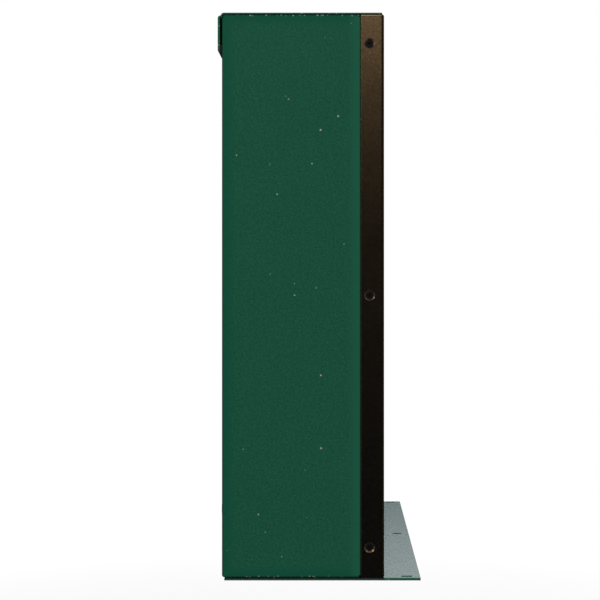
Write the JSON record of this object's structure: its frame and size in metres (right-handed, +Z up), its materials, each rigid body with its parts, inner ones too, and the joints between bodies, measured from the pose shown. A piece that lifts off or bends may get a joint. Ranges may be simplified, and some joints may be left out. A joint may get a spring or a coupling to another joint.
{
  "type": "wall mounted mailbox",
  "caption": "Wall mounted mailbox of folded sheet with a stand-off rail, framed front, inward mail flap, side hung door with a cam lock, and a drained sill under the front.",
  "frame": {"origin": "middle of the four wall screw holes, on the wall plane that the rail and the rubber bumpers touch", "axes": "+Z up, +Y into the wall, -Y the front with the door, -X the side that the picture shows"},
  "size_m": [0.26, 0.1432, 0.4],
  "materials": {
    "green_paint": "satin powder coat, fine grained",
    "bronze_finish": "dark bronze, satin",
    "black_steel": "black oxide",
    "zinc_steel": "zinc plated",
    "rivet_aluminium": "plain",
    "black_rubber": "matte",
    "pin_steel": "ground",
    "white_nylon": "moulded",
    "lock_chrome": "polished"
  },
  "bodies": {
    "case": {"body_shell": "green_paint", "top_cover": "green_paint", "base_plate": "green_paint", "mounting_rail": "green_paint", "front_frame": "bronze_finish", "frame_screws": "black_steel", "clip_nuts": "zinc_steel", "panel_rivets": "rivet_aluminium", "wall_bumpers": "black_rubber", "rail_strip": "black_rubber", "strike_plate": "zinc_steel", "door_hinge_pins": "pin_steel", "flap_hinge_pin": "pin_steel", "flap_brackets": "zinc_steel", "flap_pin_clips": "black_steel"},
    "door": {"door_panel": "bronze_finish", "door_bushings": "white_nylon", "lock_housing": "lock_chrome", "lock_nut": "zinc_steel"},
    "lock": {"lock_plug": "lock_chrome", "lock_cam": "zinc_steel", "cam_nut": "zinc_steel"},
    "flap": {"slot_flap": "bronze_finish"}
  },
  "joints": [
    {"name": "door_hinge", "type": "hinge", "parent": "case", "child": "door", "pos_m": [-0.1038, -0.1125, -0.0375], "axis": [0, 0, -1], "range_deg": [0, 95]},
    {"name": "flap_hinge", "type": "hinge", "parent": "case", "child": "flap", "pos_m": [0, -0.11295, 0.167], "axis": [1, 0, 0], "range_deg": [0, 75]},
    {"name": "lock_turn", "type": "hinge", "parent": "door", "child": "lock", "pos_m": [0.086, -0.1032, -0.0375], "axis": [0, -1, 0], "range_deg": [0, 90]}
  ]
}
